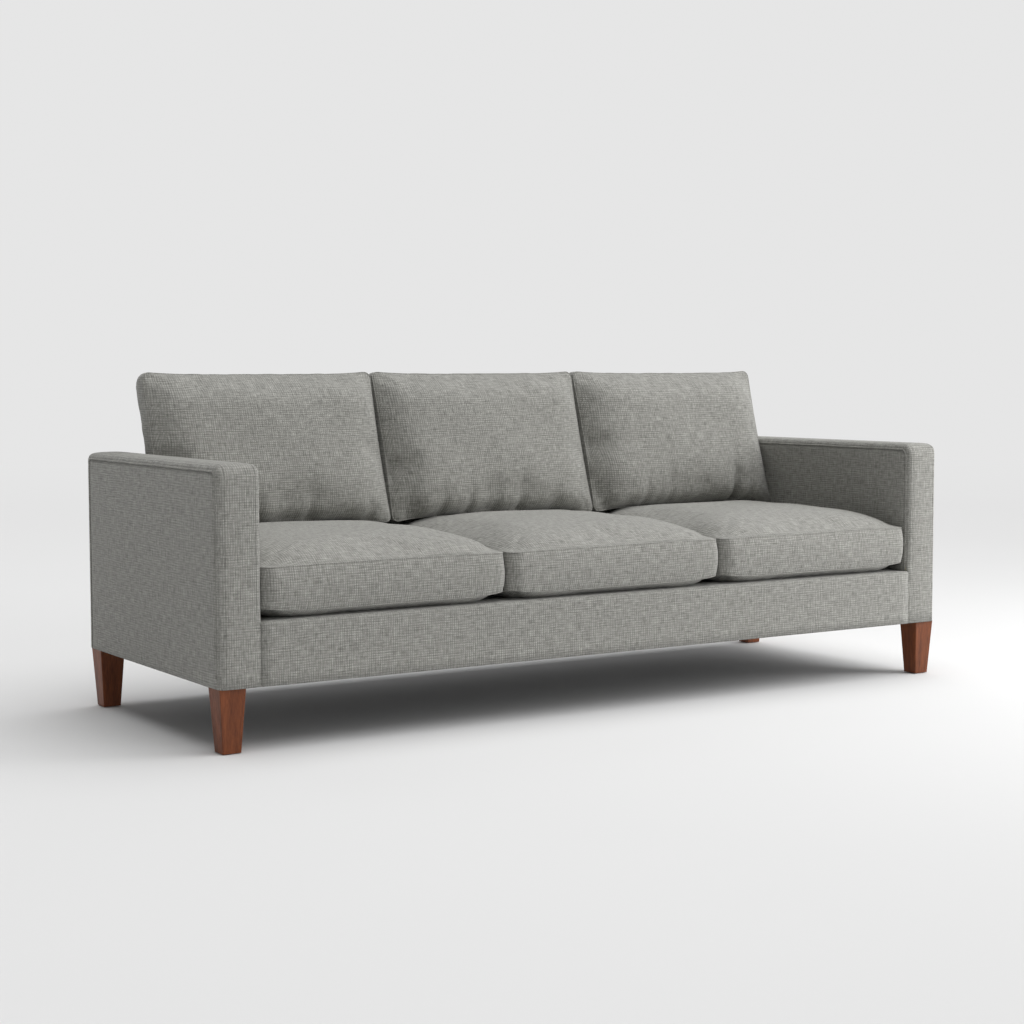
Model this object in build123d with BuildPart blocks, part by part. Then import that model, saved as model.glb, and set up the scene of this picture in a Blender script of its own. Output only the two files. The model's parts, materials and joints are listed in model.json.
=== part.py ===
from build123d import *

import os
from math import cos, radians, tan

# Three-seat sofa: a timber frame with track arms on four tapered wooden legs, sprung seat deck,
# boxed fabric upholstery, and three loose seat cushions and three loose back cushions.
# Millimetres. +X is to the right of someone facing the sofa, +Y to its rear, +Z up.
# The origin is on the floor, under the middle of the footprint.

# Overall sizes
overall_width = 2200.0
overall_depth = 820.0
overall_height = 861.0  # top of the back cushions
leg_height = 150.0  # floor to the underside of the body
deck_height = 298.0  # floor to the deck that the seat cushions lie on
seat_height = 466.0  # floor to the top of the seat cushions, under the back cushions
arm_height = 652.0
arm_width = 104.0
arm_corner = 25.0  # rounding of the arm's two top corners, seen from the side
back_height = 645.0
back_top_thickness = 68.0  # the back at its top, from outer to inner fabric
back_lean = 16.3  # degrees, the inner back from upright

# Timber, boards and soft layers
rail_thickness = 25.0
arm_rail_thickness = 35.0
post_depth = 45.0
board = 5.0
fabric = 1.5
dust_cloth = 1.0
webbing_thickness = 1.5
webbing_width = 60.0
webbing_rows = 4
front_pad = 10.0
rear_wadding = 3.0  # thin wadding's room behind the timber, under the outer back
arm_top_pad = 20.0
arm_inner_pad = 20.0
back_pad_thickness = 20.0
deck_pad_thickness = 6.0
pad_edge = 8.0  # rounding along the arm padding's long edges
front_lip = 80.0  # how far the front cover runs back over the deck
tie_height = 80.0
corner_block_leg = 70.0
corner_block_height = 60.0
back_rail_height = 80.0

# Legs and what holds them
leg_top = 65.0
leg_foot = 46.0
leg_side_inset = 1.0
leg_end_inset = 7.5
leg_edge = 2.0
glide_radius = 14.0
glide_height = 2.0
bolt_radius = 4.0
bolt_in_leg = 40.0
bolt_above_leg = 32.0
bolt_hole_clearance = 0.1
nut_barrel_radius = 5.0
nut_barrel_length = 12.0
nut_flange_radius = 10.0
nut_flange_thickness = 1.6
nut_clearance = 0.3

# Seat springs: serpentine wires from the front rail to the rear seat rail
springs_per_seat = 4
spring_wire_radius = 1.8
spring_pitch = 30.0  # wanted distance between neighbouring bars of the wire
spring_bar = 30.0  # straight part of a bar
spring_drop = 1.0  # clear height between wire and deck pad
clip_width = 16.0
clip_depth = 10.0
clip_height = 9.0
clip_clearance = 0.1

# Cushions
seats = 3
cushion_gap = 2.0  # between neighbours and beside the arms
rest_gap = 0.5  # under and behind a cushion
seat_front_setback = 5.0
seat_corner = 45.0
seat_edge = 25.0
back_cushion_thickness = 112.0
back_cushion_edge = 26.0

# Places worked out from the sizes above
half_width = overall_width / 2
half_depth = overall_depth / 2
frame_bottom = leg_height + dust_cloth

arm_face = half_width - arm_width  # inner fabric of an arm
inner_pad_x = arm_face + fabric
inner_board_x = inner_pad_x + arm_inner_pad
timber_inner_x = inner_board_x + board
outer_board_x = half_width - fabric
timber_outer_x = outer_board_x - board

arm_rear = half_depth - fabric
timber_front = -half_depth + fabric + front_pad
timber_rear = arm_rear - fabric - rear_wadding
rail_back_face = timber_front + rail_thickness

arm_rail_top = frame_bottom + arm_rail_thickness
arm_timber_top = arm_height - fabric - arm_top_pad
deck_pad_top = deck_height - fabric
rail_top = deck_pad_top - deck_pad_thickness
back_top = back_height - fabric
back_seam = arm_height - arm_corner  # where the outer back cover ends

back_pad_depth = fabric + back_pad_thickness
rib_depth = back_pad_depth + webbing_thickness
cushion_width = (2 * arm_face - (seats + 1) * cushion_gap) / seats

leg_x = half_width - leg_side_inset - leg_top / 2
leg_y = half_depth - leg_end_inset - leg_top / 2

SIDES = {"left": -1, "right": 1}
ENDS = {"front": -1, "rear": 1}
SEAT_NAMES = ("left", "middle", "right")


def lean_y(height, depth):
    """Y at a height on the plane that lies this deep behind the inner back's fabric."""
    face = half_depth - back_top_thickness - (back_height - height) * tan(radians(back_lean))
    return face + depth / cos(radians(back_lean))


def seat_x(index):
    """Middle of a seat, counted from the left."""
    return (index - (seats - 1) / 2) * (cushion_width + cushion_gap)


def save(piece, name):
    """Labels a finished piece and writes it."""
    piece.label = name
    export_step(piece, f"parts/{name}.step")


def block(x_range, y_range, z_range):
    """A square-edged piece between two places along each axis."""
    x_low, x_high = sorted(x_range)
    y_low, y_high = sorted(y_range)
    z_low, z_high = sorted(z_range)
    with BuildPart() as piece:
        with BuildSketch(Plane.XY.offset(z_low)):
            with Locations(((x_low + x_high) / 2, (y_low + y_high) / 2)):
                Rectangle(x_high - x_low, y_high - y_low)
        extrude(amount=z_high - z_low)
    return piece.part


def side_profile(points, x_range):
    """A piece with one outline, given as (Y, Z) points, between two places along X."""
    x_low, x_high = sorted(x_range)
    with BuildPart() as piece:
        with BuildSketch(Plane.YZ.offset(x_low)):
            with BuildLine():
                Polyline(*points, close=True)
            make_face()
        extrude(amount=x_high - x_low)
    return piece.part


def leaning_layer(depths, heights, x_range):
    """A sheet parallel to the leaning inner back, between two depths and two heights."""
    near, far = depths
    low, high = heights
    outline = (
        (lean_y(low, near), low),
        (lean_y(low, far), low),
        (lean_y(high, far), high),
        (lean_y(high, near), high),
    )
    return side_profile(outline, x_range)


def arm_side_panel(x_range, bottom):
    """A flat cover for one side of an arm, rounded at its two top corners."""
    x_low, x_high = sorted(x_range)
    with BuildPart() as panel:
        with BuildSketch(Plane.YZ.offset(x_low)) as outline:
            with Locations(((arm_rear - half_depth) / 2, (arm_height + bottom) / 2)):
                Rectangle(arm_rear + half_depth, arm_height - bottom)
            fillet(outline.vertices().group_by(Axis.Y)[-1], radius=arm_corner)
        extrude(amount=x_high - x_low)
    return panel.part


def arm_strip(x_range, inset, inner_front, inner_top, inner_radius):
    """A strip that runs up the arm's front and over its top to the rear corner.

    Its outer outline is the arm's own, inset all round; the inner one is a rectangle
    that starts at inner_front and inner_top, rounded by inner_radius where that isn't 0.
    """
    x_low, x_high = sorted(x_range)
    front = -half_depth + inset
    rear = arm_rear - inset
    top = arm_height - inset
    inner_rear = rear - (inner_front - front if inner_radius else 0)
    with BuildPart() as strip:
        with BuildSketch(Plane.YZ.offset(x_low)) as outline:
            with Locations(((front + rear) / 2, (frame_bottom + top) / 2)):
                Rectangle(rear - front, top - frame_bottom)
            fillet(outline.vertices().group_by(Axis.Y)[-1], radius=arm_corner - inset)
            with BuildSketch(mode=Mode.PRIVATE) as inside:
                with Locations(((inner_front + inner_rear) / 2, (frame_bottom + inner_top) / 2)):
                    Rectangle(inner_rear - inner_front, inner_top - frame_bottom)
                if inner_radius:
                    fillet(inside.vertices().group_by(Axis.Y)[-1], radius=inner_radius)
            add(inside.sketch, mode=Mode.SUBTRACT)
            with Locations((arm_rear, (frame_bottom + back_seam) / 2)):
                Rectangle(2 * arm_corner, back_seam - frame_bottom, mode=Mode.SUBTRACT)
        extrude(amount=x_high - x_low)
    return strip.part


def make_legs():
    """Four square legs, tapered on all sides, each bored from above for its hanger bolt."""
    for end, end_sign in ENDS.items():
        for side, side_sign in SIDES.items():
            centre = (side_sign * leg_x, end_sign * leg_y)
            with BuildPart() as leg:
                with BuildSketch(Plane.XY.offset(glide_height)):
                    with Locations(centre):
                        Rectangle(leg_foot, leg_foot)
                with BuildSketch(Plane.XY.offset(leg_height)):
                    with Locations(centre):
                        Rectangle(leg_top, leg_top)
                loft()
                levels = leg.edges().group_by(Axis.Z)
                fillet(leg.edges() - levels[0] - levels[-1], radius=leg_edge)
                with Locations((*centre, leg_height)):
                    Hole(bolt_radius + bolt_hole_clearance, depth=bolt_in_leg + leg_edge)
            leg.part.label = f"leg_{end}_{side}"
            export_step(leg.part, f"parts/leg_{end}_{side}.step")


def make_leg_fixings():
    """Under each leg a nail-on glide; over it a hanger bolt held in a tee nut."""
    leg_centres = [(x, y) for x in (-leg_x, leg_x) for y in (-leg_y, leg_y)]
    with BuildPart() as leg_glides:
        with BuildSketch(Plane.XY):
            with Locations(*leg_centres):
                Circle(glide_radius)
        extrude(amount=glide_height)
        chamfer(leg_glides.edges().group_by(Axis.Z)[0], length=glide_height / 4)
    save(leg_glides.part, "leg_glides")

    with BuildPart() as leg_bolts:
        with BuildSketch(Plane.XY.offset(leg_height - bolt_in_leg)):
            with Locations(*leg_centres):
                Circle(bolt_radius)
        extrude(amount=bolt_in_leg + bolt_above_leg)
        chamfer(leg_bolts.edges().group_by(Axis.Z)[0], length=bolt_radius / 3)
        chamfer(leg_bolts.edges().group_by(Axis.Z)[-1], length=bolt_radius / 5)
    save(leg_bolts.part, "leg_bolts")

    flange_bottom = arm_rail_top - nut_flange_thickness
    with BuildPart() as leg_tee_nuts:
        with BuildSketch(Plane.XY.offset(flange_bottom)):
            with Locations(*leg_centres):
                Circle(nut_flange_radius)
        extrude(amount=nut_flange_thickness)
        with BuildSketch(Plane.XY.offset(flange_bottom)):
            with Locations(*leg_centres):
                Circle(nut_barrel_radius)
        extrude(amount=-nut_barrel_length)
        with Locations(*[(x, y, arm_rail_top) for x, y in leg_centres]):
            Hole(bolt_radius + bolt_hole_clearance)
    save(leg_tee_nuts.part, "leg_tee_nuts")


def make_base():
    """Rails, ties and corner blocks of the seat, which stand between the arms."""
    span = (-inner_board_x, inner_board_x)
    seat_rail_front = lean_y(rail_top, rib_depth) - rail_thickness / 2
    seat_rail_rear = seat_rail_front + rail_thickness
    back_rail_front = timber_rear - rail_thickness

    save(block(span, (timber_front, rail_back_face), (frame_bottom, rail_top)), "front_rail")
    save(block(span, (seat_rail_front, seat_rail_rear), (frame_bottom, rail_top)), "rear_seat_rail")
    back_rail_top = frame_bottom + back_rail_height
    save(block(span, (back_rail_front, timber_rear), (frame_bottom, back_rail_top)), "back_rail")

    tie_x = (cushion_width + cushion_gap) / 2
    with BuildPart() as seat_ties:
        with BuildSketch(Plane.XY.offset(frame_bottom)):
            with Locations(*[(x, (rail_back_face + seat_rail_front) / 2) for x in (-tie_x, tie_x)]):
                Rectangle(rail_thickness, seat_rail_front - rail_back_face)
        extrude(amount=tie_height)
    save(seat_ties.part, "seat_ties")

    with BuildPart() as corner_blocks:
        with BuildSketch(Plane.XY.offset(frame_bottom)):
            for sign in SIDES.values():
                corner_x = sign * inner_board_x
                for corner_y, inward in ((rail_back_face, 1), (seat_rail_front, -1)):
                    with BuildLine():
                        Polyline(
                            (corner_x, corner_y),
                            (corner_x - sign * corner_block_leg, corner_y),
                            (corner_x, corner_y + inward * corner_block_leg),
                            close=True,
                        )
                    make_face()
        extrude(amount=corner_block_height)
    save(corner_blocks.part, "corner_blocks")


def make_arm_frames():
    """In each arm a base rail, two posts, a top rail and a board on both sides."""
    front_post = (timber_front, timber_front + post_depth)
    rear_post = (timber_rear - post_depth, timber_rear)
    depth = (timber_front, timber_rear)
    top_rail_bottom = arm_timber_top - rail_thickness
    for side, sign in SIDES.items():
        timber = (sign * timber_inner_x, sign * timber_outer_x)
        inner = (sign * inner_board_x, sign * timber_inner_x)
        outer = (sign * timber_outer_x, sign * outer_board_x)
        save(block(timber, front_post, (arm_rail_top, top_rail_bottom)), f"arm_front_post_{side}")
        save(block(timber, rear_post, (arm_rail_top, top_rail_bottom)), f"arm_rear_post_{side}")
        save(block(timber, depth, (top_rail_bottom, arm_timber_top)), f"arm_top_rail_{side}")
        save(block(inner, depth, (frame_bottom, arm_timber_top)), f"arm_inner_board_{side}")
        save(block(outer, depth, (frame_bottom, arm_timber_top)), f"arm_outer_board_{side}")

        with BuildPart() as base_rail:
            add(block(timber, depth, (frame_bottom, arm_rail_top)))
            with Locations(*[(sign * leg_x, y, arm_rail_top) for y in (-leg_y, leg_y)]):
                CounterBoreHole(
                    radius=nut_barrel_radius + nut_clearance,
                    counter_bore_radius=nut_flange_radius + nut_clearance,
                    counter_bore_depth=nut_flange_thickness,
                )
        base_rail.part.label = f"arm_base_rail_{side}"
        export_step(base_rail.part, f"parts/arm_base_rail_{side}.step")


def make_back_frame():
    """Four plywood ribs with a leaning front edge, a top rail and straps of elastic webbing."""
    seat_rail_rear = lean_y(rail_top, rib_depth) + rail_thickness / 2
    back_rail_front = timber_rear - rail_thickness
    back_rail_top = frame_bottom + back_rail_height
    rib_top = back_top - rail_thickness
    rib_outline = (
        (seat_rail_rear, frame_bottom),
        (back_rail_front, frame_bottom),
        (back_rail_front, back_rail_top),
        (timber_rear, back_rail_top),
        (timber_rear, rib_top),
        (lean_y(rib_top, rib_depth), rib_top),
        (lean_y(rail_top, rib_depth), rail_top),
        (seat_rail_rear, rail_top),
    )
    rib_places = [arm_face - rail_thickness / 2, (cushion_width + cushion_gap) / 2]
    with BuildPart() as back_ribs:
        for place in rib_places:
            for rib_x in (-place, place):
                with BuildSketch(Plane.YZ.offset(rib_x - rail_thickness / 2)):
                    with BuildLine():
                        Polyline(*rib_outline, close=True)
                    make_face()
                extrude(amount=rail_thickness)
    save(back_ribs.part, "back_ribs")

    top_rail_outline = (
        (lean_y(rib_top, rib_depth), rib_top),
        (timber_rear, rib_top),
        (timber_rear, back_top),
        (lean_y(back_top, rib_depth), back_top),
    )
    save(side_profile(top_rail_outline, (-arm_face, arm_face)), "back_top_rail")

    spacing = (back_top - rail_top) / webbing_rows
    with BuildPart() as back_webbing:
        for row in range(webbing_rows):
            middle = rail_top + spacing * (row + 0.5)
            heights = (middle - webbing_width / 2, middle + webbing_width / 2)
            add(leaning_layer((back_pad_depth, rib_depth), heights, (-arm_face, arm_face)))
    save(back_webbing.part, "back_webbing")


def make_seat_springs():
    """Serpentine wires under the deck, and the clips that hold their end bars to the rails."""
    wire_z = rail_top - spring_drop - spring_wire_radius
    seat_rail_front = lean_y(rail_top, rib_depth) - rail_thickness / 2
    first_bar = rail_back_face + clip_depth / 2
    last_bar = seat_rail_front - clip_depth / 2
    gaps = round((last_bar - first_bar) / spring_pitch)
    pitch = (last_bar - first_bar) / gaps
    spacing = 2 * arm_face / (seats * springs_per_seat)
    spring_places = [
        (index + 0.5) * spacing - arm_face for index in range(seats * springs_per_seat)
    ]

    with BuildPart() as spring:
        with BuildLine(Plane.XY.offset(wire_z)) as wire:
            for bar in range(gaps + 1):
                bar_y = first_bar + bar * pitch
                way = 1 if bar % 2 == 0 else -1
                end = way * spring_bar / 2
                Line((-end, bar_y), (end, bar_y))
                if bar < gaps:
                    ThreePointArc(
                        (end, bar_y),
                        (end + way * pitch / 2, bar_y + pitch / 2),
                        (end, bar_y + pitch),
                    )
        with BuildSketch(Plane(origin=wire.line @ 0, z_dir=wire.line % 0)):
            Circle(spring_wire_radius)
        sweep(path=wire.line)

    with BuildPart() as seat_springs:
        with Locations(*[(x, 0, 0) for x in spring_places]):
            add(spring.part)
    save(seat_springs.part, "seat_springs")

    slot_size = 2 * (spring_wire_radius + clip_clearance)
    with BuildPart() as spring_clips:
        for bar_y in (first_bar, last_bar):
            with Locations(*[(x, bar_y, rail_top - clip_height / 2) for x in spring_places]):
                Box(clip_width, clip_depth, clip_height)
            with Locations(*[(x, bar_y, wire_z) for x in spring_places]):
                Box(clip_width, slot_size, slot_size, mode=Mode.SUBTRACT)
    save(spring_clips.part, "spring_clips")


def make_padding():
    """Foam and felt between the timber and the covers."""
    for side, sign in SIDES.items():
        inner = (sign * inner_pad_x, sign * inner_board_x)
        pad = block(inner, (timber_front, timber_rear), (deck_height, arm_timber_top))
        save(pad, f"arm_inner_pad_{side}")
        with BuildPart() as wrap_pad:
            width = (sign * inner_pad_x, sign * outer_board_x)
            add(arm_strip(width, fabric, timber_front, arm_timber_top, 0))
            outer_faces = wrap_pad.faces().sort_by(Axis.Y)[:1] + wrap_pad.faces().sort_by(Axis.Z)[-1:]
            long_edges = outer_faces.edges().filter_by(GeomType.LINE) - wrap_pad.edges().filter_by(Axis.X)
            rounded = wrap_pad.edges().filter_by(GeomType.CIRCLE).sort_by(Axis.Y)[:2]
            fillet(long_edges + rounded, radius=pad_edge)
        wrap_pad.part.label = f"arm_wrap_pad_{side}"
        export_step(wrap_pad.part, f"parts/arm_wrap_pad_{side}.step")

    rail_face = (-half_depth + fabric, timber_front)
    save(block((-inner_pad_x, inner_pad_x), rail_face, (frame_bottom, deck_pad_top)), "front_rail_pad")
    deck_rear = lean_y(deck_height, 0)
    deck_span = (-inner_board_x, inner_board_x)
    save(block(deck_span, (timber_front, deck_rear), (rail_top, deck_pad_top)), "deck_pad")
    back_span = (-arm_face, arm_face)
    pad = leaning_layer((fabric, back_pad_depth), (deck_height, back_top), back_span)
    save(pad, "back_pad")


def make_covers():
    """Fabric over the frame: boxed arms, front rail, deck, inner and outer back, and the dust cloth."""
    for side, sign in SIDES.items():
        outer = (sign * outer_board_x, sign * half_width)
        inner = (sign * arm_face, sign * inner_pad_x)
        save(arm_side_panel(outer, leg_height), f"arm_outer_cover_{side}")
        save(arm_side_panel(inner, deck_height), f"arm_inner_cover_{side}")
        band = (sign * inner_pad_x, sign * outer_board_x)
        inner_top = arm_height - fabric
        strip = arm_strip(band, 0, -half_depth + fabric, inner_top, arm_corner - fabric)
        save(strip, f"arm_band_{side}")

    lip_rear = timber_front + front_lip
    rail_cover_outline = (
        (-half_depth, leg_height),
        (-half_depth + fabric, leg_height),
        (-half_depth + fabric, deck_pad_top),
        (lip_rear, deck_pad_top),
        (lip_rear, deck_height),
        (-half_depth, deck_height),
    )
    save(side_profile(rail_cover_outline, (-inner_pad_x, inner_pad_x)), "front_rail_cover")

    deck_rear = lean_y(deck_height, 0)
    deck_span = (-inner_board_x, inner_board_x)
    save(block(deck_span, (lip_rear, deck_rear), (deck_pad_top, deck_height)), "deck_cover")

    back_span = (-arm_face, arm_face)
    inner_back = leaning_layer((0, fabric), (deck_height, back_top), back_span)
    save(inner_back, "back_inner_cover")
    top_cover_outline = (
        (lean_y(back_top, 0), back_top),
        (arm_rear, back_top),
        (arm_rear, back_seam),
        (half_depth, back_seam),
        (half_depth, back_height),
        (lean_y(back_height, 0), back_height),
    )
    save(side_profile(top_cover_outline, back_span), "back_top_cover")
    full_width = (-half_width, half_width)
    save(block(full_width, (arm_rear, half_depth), (leg_height, back_seam)), "back_outer_cover")

    with BuildPart() as dust_cover:
        cloth = (-outer_board_x, outer_board_x)
        add(block(cloth, (-half_depth + fabric, arm_rear), (leg_height, frame_bottom)))
        with Locations(*[(x, y, frame_bottom) for x in (-leg_x, leg_x) for y in (-leg_y, leg_y)]):
            Hole(nut_barrel_radius)
    save(dust_cover.part, "dust_cover")


def seat_cushion_solid(x_middle, inset):
    """A box cushion with rounded corners in plan and soft upper and lower edges."""
    front = -half_depth + seat_front_setback
    rear = lean_y(deck_height, 0) - cushion_gap
    bottom = deck_height + rest_gap
    with BuildPart() as cushion:
        with BuildSketch(Plane.XY.offset(bottom + inset)):
            with Locations((x_middle, (front + rear) / 2)):
                RectangleRounded(
                    cushion_width - 2 * inset, rear - front - 2 * inset, seat_corner - inset
                )
        extrude(amount=seat_height - bottom - 2 * inset)
        levels = cushion.edges().group_by(Axis.Z)
        fillet(levels[0] + levels[-1], radius=seat_edge - inset)
    return cushion.part


def back_cushion_solid(x_middle, inset):
    """A box cushion that leans on the inner back and stands level on the seat cushion."""
    rear_depth = -rest_gap - inset
    front_depth = -rest_gap - back_cushion_thickness + inset
    foot = seat_height + rest_gap + inset
    lean = radians(back_lean)
    drop = (rear_depth - front_depth) * cos(lean) * tan(lean)
    front_top = overall_height - inset / cos(lean) * (1 - tan(lean) * cos(lean))
    rear_top = front_top - drop
    outline = (
        (lean_y(foot, front_depth), foot),
        (lean_y(foot, rear_depth), foot),
        (lean_y(rear_top, rear_depth), rear_top),
        (lean_y(front_top, front_depth), front_top),
    )
    half = cushion_width / 2 - inset
    with BuildPart() as cushion:
        add(side_profile(outline, (x_middle - half, x_middle + half)))
        fillet(cushion.edges(), radius=back_cushion_edge - inset)
    return cushion.part


def make_cushions():
    """Three seat and three back cushions, each a filling inside a sewn cover."""
    solids = {"seat": seat_cushion_solid, "back": back_cushion_solid}
    fillings = {"seat": "core", "back": "filling"}
    for index, seat_name in enumerate(SEAT_NAMES):
        for kind, solid in solids.items():
            filling = solid(seat_x(index), fabric)
            with BuildPart() as cover:
                add(solid(seat_x(index), 0))
                add(filling, mode=Mode.SUBTRACT)
            save(filling, f"{kind}_cushion_{fillings[kind]}_{seat_name}")
            cover.part.label = f"{kind}_cushion_cover_{seat_name}"
            export_step(cover.part, f"parts/{kind}_cushion_cover_{seat_name}.step")


os.makedirs("parts", exist_ok=True)
make_legs()
make_leg_fixings()
make_base()
make_arm_frames()
make_back_frame()
make_seat_springs()
make_padding()
make_covers()
make_cushions()
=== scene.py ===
import json
import math

import bmesh
import bpy
import numpy as np
from mathutils import Matrix, Vector


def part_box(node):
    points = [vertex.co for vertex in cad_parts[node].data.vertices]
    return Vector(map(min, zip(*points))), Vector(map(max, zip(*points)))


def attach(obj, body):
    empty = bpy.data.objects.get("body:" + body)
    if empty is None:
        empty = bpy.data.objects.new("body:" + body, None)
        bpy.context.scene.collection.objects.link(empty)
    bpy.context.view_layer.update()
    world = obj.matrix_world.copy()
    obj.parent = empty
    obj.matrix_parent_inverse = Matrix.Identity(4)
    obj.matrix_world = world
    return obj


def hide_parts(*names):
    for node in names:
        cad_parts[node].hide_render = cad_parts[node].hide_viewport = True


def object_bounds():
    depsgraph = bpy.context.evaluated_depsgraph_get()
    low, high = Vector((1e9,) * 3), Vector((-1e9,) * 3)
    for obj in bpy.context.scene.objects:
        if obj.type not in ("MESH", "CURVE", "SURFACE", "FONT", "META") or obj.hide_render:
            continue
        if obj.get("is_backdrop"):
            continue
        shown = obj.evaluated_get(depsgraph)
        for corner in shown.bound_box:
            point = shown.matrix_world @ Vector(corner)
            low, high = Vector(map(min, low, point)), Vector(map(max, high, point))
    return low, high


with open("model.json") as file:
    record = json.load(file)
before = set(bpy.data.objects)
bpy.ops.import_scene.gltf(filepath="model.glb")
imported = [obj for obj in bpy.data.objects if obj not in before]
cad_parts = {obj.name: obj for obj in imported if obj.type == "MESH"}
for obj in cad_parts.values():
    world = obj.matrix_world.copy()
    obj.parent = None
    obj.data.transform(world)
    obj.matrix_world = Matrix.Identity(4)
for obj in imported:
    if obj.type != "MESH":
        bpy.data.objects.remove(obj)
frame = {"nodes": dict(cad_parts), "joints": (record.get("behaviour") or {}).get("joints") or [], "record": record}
cad_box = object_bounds()

bl_info = {
    "name": "Track arm sofa",
    "version": (1, 0, 0),
    "blender": (4, 5, 0),
    "location": "View3D > Sidebar > Sofa",
    "description": "Upholstery, cushions and finishes for a three-seat sofa on wooden legs",
    "category": "Object",
}

SIDES = {"left": -1, "right": 1}
SEATS = ("left", "middle", "right")

# The frame's own places, in metres
OUTER_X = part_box("arm_outer_cover_right")[1].x
ARM_FACE_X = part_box("arm_inner_cover_right")[0].x
ARM_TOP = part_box("arm_outer_cover_right")[1].z
FRONT_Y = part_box("front_rail_cover")[0].y
REAR_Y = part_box("back_outer_cover")[1].y
BODY_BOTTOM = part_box("dust_cover")[0].z
DECK_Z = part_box("deck_cover")[1].z
BACK_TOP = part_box("back_top_cover")[1].z
BACK_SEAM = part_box("back_outer_cover")[1].z
BACK_FOOT_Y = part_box("back_inner_cover")[0].y


# ---------------------------------------------------------------- settings


class SofaFabricSettings(bpy.types.PropertyGroup):
    light_thread: bpy.props.FloatVectorProperty(
        name="Light thread", description="Colour of the paler yarns in the weave",
        default=(0.4, 0.396, 0.366), subtype="COLOR", min=0.0, max=1.0)
    dark_thread: bpy.props.FloatVectorProperty(
        name="Dark thread", description="Colour of the darker yarns in the weave",
        default=(0.18, 0.178, 0.163), subtype="COLOR", min=0.0, max=1.0)
    thread_pitch: bpy.props.FloatProperty(
        name="Thread pitch", description="Distance between neighbouring yarns",
        default=0.0058, min=0.001, max=0.02, unit="LENGTH", precision=4)
    nap: bpy.props.FloatProperty(
        name="Nap height", description="How far the weave's relief stands up",
        default=0.0007, min=0.0, max=0.005, unit="LENGTH", precision=4)


class SofaCushionSettings(bpy.types.PropertyGroup):
    seat_seam_low: bpy.props.FloatProperty(
        name="Lower seat seam", description="Height of the seat cushions' lower seam above the deck",
        default=0.019, min=0.0, max=0.1, unit="LENGTH")
    seat_seam_high: bpy.props.FloatProperty(
        name="Upper seat seam", description="Height of the seat cushions' upper seam above the deck",
        default=0.124, min=0.05, max=0.3, unit="LENGTH")
    seat_crown: bpy.props.FloatProperty(
        name="Seat crown", description="Rise of a seat cushion's middle over its upper seam",
        default=0.055, min=0.0, max=0.08, unit="LENGTH")
    back_thickness: bpy.props.FloatProperty(
        name="Back boxing", description="Depth of the boxing round a back cushion",
        default=0.112, min=0.05, max=0.25, unit="LENGTH")
    back_crown: bpy.props.FloatProperty(
        name="Back crown", description="Swell of a back cushion's front panel over its seam",
        default=0.06, min=0.0, max=0.1, unit="LENGTH")
    welt_radius: bpy.props.FloatProperty(
        name="Welt radius", description="Radius of the fabric-covered cord along the seams",
        default=0.0016, min=0.0005, max=0.01, unit="LENGTH", precision=4)


class SofaLegSettings(bpy.types.PropertyGroup):
    stain: bpy.props.FloatVectorProperty(
        name="Stain", description="Main colour of the legs' wood",
        default=(0.235, 0.066, 0.02), subtype="COLOR", min=0.0, max=1.0)
    grain: bpy.props.FloatVectorProperty(
        name="Grain", description="Colour of the darker grain lines",
        default=(0.085, 0.022, 0.007), subtype="COLOR", min=0.0, max=1.0)


# ---------------------------------------------------------------- node helpers


class Nodes:
    """Short words for building a material's nodes."""

    def __init__(self, name):
        self.material = bpy.data.materials.new(name)
        self.material.use_nodes = True
        self.tree = self.material.node_tree
        self.shader = self.tree.nodes["Principled BSDF"]

    def add(self, kind, **values):
        node = self.tree.nodes.new(kind)
        for key, value in values.items():
            setattr(node, key, value)
        return node

    def put(self, socket, value):
        if isinstance(value, bpy.types.NodeSocket):
            self.tree.links.new(value, socket)
        else:
            socket.default_value = value

    def math(self, operation, a, b=0.0, c=0.0):
        node = self.add("ShaderNodeMath", operation=operation)
        for socket, value in zip(node.inputs, (a, b, c)):
            self.put(socket, value)
        return node.outputs[0]

    def mix(self, factor, a, b, blend="MIX"):
        node = self.add("ShaderNodeMix", data_type="RGBA", blend_type=blend)
        for index, value in ((0, factor), (6, a), (7, b)):
            self.put(node.inputs[index], value)
        return node.outputs[2]

    def noise(self, vector, scale, detail=2.0, roughness=0.5):
        node = self.add("ShaderNodeTexNoise")
        self.put(node.inputs["Vector"], vector)
        for key, value in (("Scale", scale), ("Detail", detail), ("Roughness", roughness)):
            self.put(node.inputs[key], value)
        return node.outputs["Fac"]

    def span(self, value, low, high, to_low=0.0, to_high=1.0):
        node = self.add("ShaderNodeMapRange")
        for key, item in zip(("Value", "From Min", "From Max", "To Min", "To Max"),
                             (value, low, high, to_low, to_high)):
            self.put(node.inputs[key], item)
        return node.outputs["Result"]

    def combine(self, x, y, z=0.0):
        node = self.add("ShaderNodeCombineXYZ")
        for socket, value in zip(node.inputs, (x, y, z)):
            self.put(socket, value)
        return node.outputs[0]

    def position(self):
        """Object coordinates as three sockets."""
        split = self.add("ShaderNodeSeparateXYZ")
        self.put(split.inputs[0], self.add("ShaderNodeTexCoord").outputs["Object"])
        return split.outputs

    def normal(self):
        split = self.add("ShaderNodeSeparateXYZ")
        self.put(split.inputs[0], self.add("ShaderNodeTexCoord").outputs["Normal"])
        return [self.math("ABSOLUTE", s) for s in split.outputs]

    def bump(self, height, distance, strength=1.0):
        node = self.add("ShaderNodeBump")
        node.inputs["Strength"].default_value = strength
        node.inputs["Distance"].default_value = distance
        self.put(node.inputs["Height"], height)
        self.put(self.shader.inputs["Normal"], node.outputs["Normal"])

    def set(self, **values):
        for key, value in values.items():
            self.put(self.shader.inputs[key.replace("_", " ")], value)


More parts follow.
